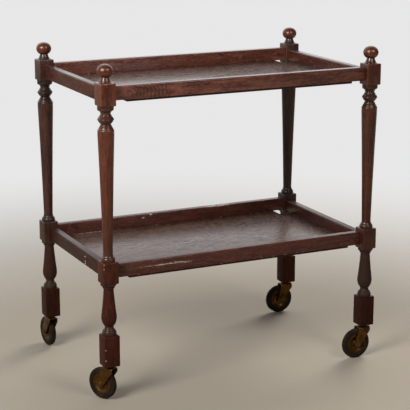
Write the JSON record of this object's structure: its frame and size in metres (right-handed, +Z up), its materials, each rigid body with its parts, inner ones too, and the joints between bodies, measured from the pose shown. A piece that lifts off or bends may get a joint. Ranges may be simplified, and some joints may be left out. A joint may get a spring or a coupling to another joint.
{
  "type": "tea trolley",
  "caption": "Tiered tea trolley with turned wooden legs, ball finials, railed trays and swivelling rubber-tyred casters.",
  "frame": {"origin": "on the floor, midway between the legs", "axes": "+Z up, +X along the length to the right seen from the front, front towards -Y"},
  "size_m": [0.7182, 0.4682, 0.7642],
  "materials": {
    "turned_wood": "dark red-brown stain under satin varnish",
    "rail_wood": "dark red-brown stain under satin varnish",
    "tray_board": "brown stain under satin varnish",
    "aged_brass": "aged and dull",
    "socket_steel": "plain",
    "tyre_rubber": "matt"
  },
  "bodies": {
    "frame": {"front_left_leg": "turned_wood", "front_right_leg": "turned_wood", "back_left_leg": "turned_wood", "back_right_leg": "turned_wood", "top_front_rail": "rail_wood", "top_back_rail": "rail_wood", "top_left_rail": "rail_wood", "top_right_rail": "rail_wood", "lower_front_rail": "rail_wood", "lower_back_rail": "rail_wood", "lower_left_rail": "rail_wood", "lower_right_rail": "rail_wood", "top_tray_panel": "tray_board", "lower_tray_panel": "tray_board", "front_left_caster_socket": "socket_steel", "front_right_caster_socket": "socket_steel", "back_left_caster_socket": "socket_steel", "back_right_caster_socket": "socket_steel"},
    "front_left_caster": {"front_left_caster_fork": "aged_brass", "front_left_caster_stem": "socket_steel", "front_left_caster_axle": "socket_steel"},
    "front_left_wheel": {"front_left_wheel_hub": "aged_brass", "front_left_wheel_tyre": "tyre_rubber"},
    "front_right_caster": {"front_right_caster_fork": "aged_brass", "front_right_caster_stem": "socket_steel", "front_right_caster_axle": "socket_steel"},
    "front_right_wheel": {"front_right_wheel_hub": "aged_brass", "front_right_wheel_tyre": "tyre_rubber"},
    "back_left_caster": {"back_left_caster_fork": "aged_brass", "back_left_caster_stem": "socket_steel", "back_left_caster_axle": "socket_steel"},
    "back_left_wheel": {"back_left_wheel_hub": "aged_brass", "back_left_wheel_tyre": "tyre_rubber"},
    "back_right_caster": {"back_right_caster_fork": "aged_brass", "back_right_caster_stem": "socket_steel", "back_right_caster_axle": "socket_steel"},
    "back_right_wheel": {"back_right_wheel_hub": "aged_brass", "back_right_wheel_tyre": "tyre_rubber"}
  },
  "joints": [
    {"name": "front_left_swivel", "type": "hinge", "parent": "frame", "child": "front_left_caster", "pos_m": [-0.3328, -0.1958, 0.084], "axis": [0, 0, 1], "continuous": true},
    {"name": "front_left_roll", "type": "hinge", "parent": "front_left_caster", "child": "front_left_wheel", "pos_m": [-0.3433, -0.17761, 0.037], "axis": [-0.866, -0.5, 0], "continuous": true},
    {"name": "front_right_swivel", "type": "hinge", "parent": "frame", "child": "front_right_caster", "pos_m": [0.3328, -0.1958, 0.084], "axis": [0, 0, 1], "continuous": true},
    {"name": "front_right_roll", "type": "hinge", "parent": "front_right_caster", "child": "front_right_wheel", "pos_m": [0.3118, -0.19617, 0.037], "axis": [0.0175, -0.9998, 0], "continuous": true},
    {"name": "back_left_swivel", "type": "hinge", "parent": "frame", "child": "back_left_caster", "pos_m": [-0.3328, 0.1958, 0.084], "axis": [0, 0, 1], "continuous": true},
    {"name": "back_left_roll", "type": "hinge", "parent": "back_left_caster", "child": "back_left_wheel", "pos_m": [-0.33463, 0.21672, 0.037], "axis": [-0.9962, -0.0872, 0], "continuous": true},
    {"name": "back_right_swivel", "type": "hinge", "parent": "frame", "child": "back_right_caster", "pos_m": [0.3328, 0.1958, 0.084], "axis": [0, 0, 1], "continuous": true},
    {"name": "back_right_roll", "type": "hinge", "parent": "back_right_caster", "child": "back_right_wheel", "pos_m": [0.31181, 0.19653, 0.037], "axis": [-0.0349, -0.9994, 0], "continuous": true}
  ]
}
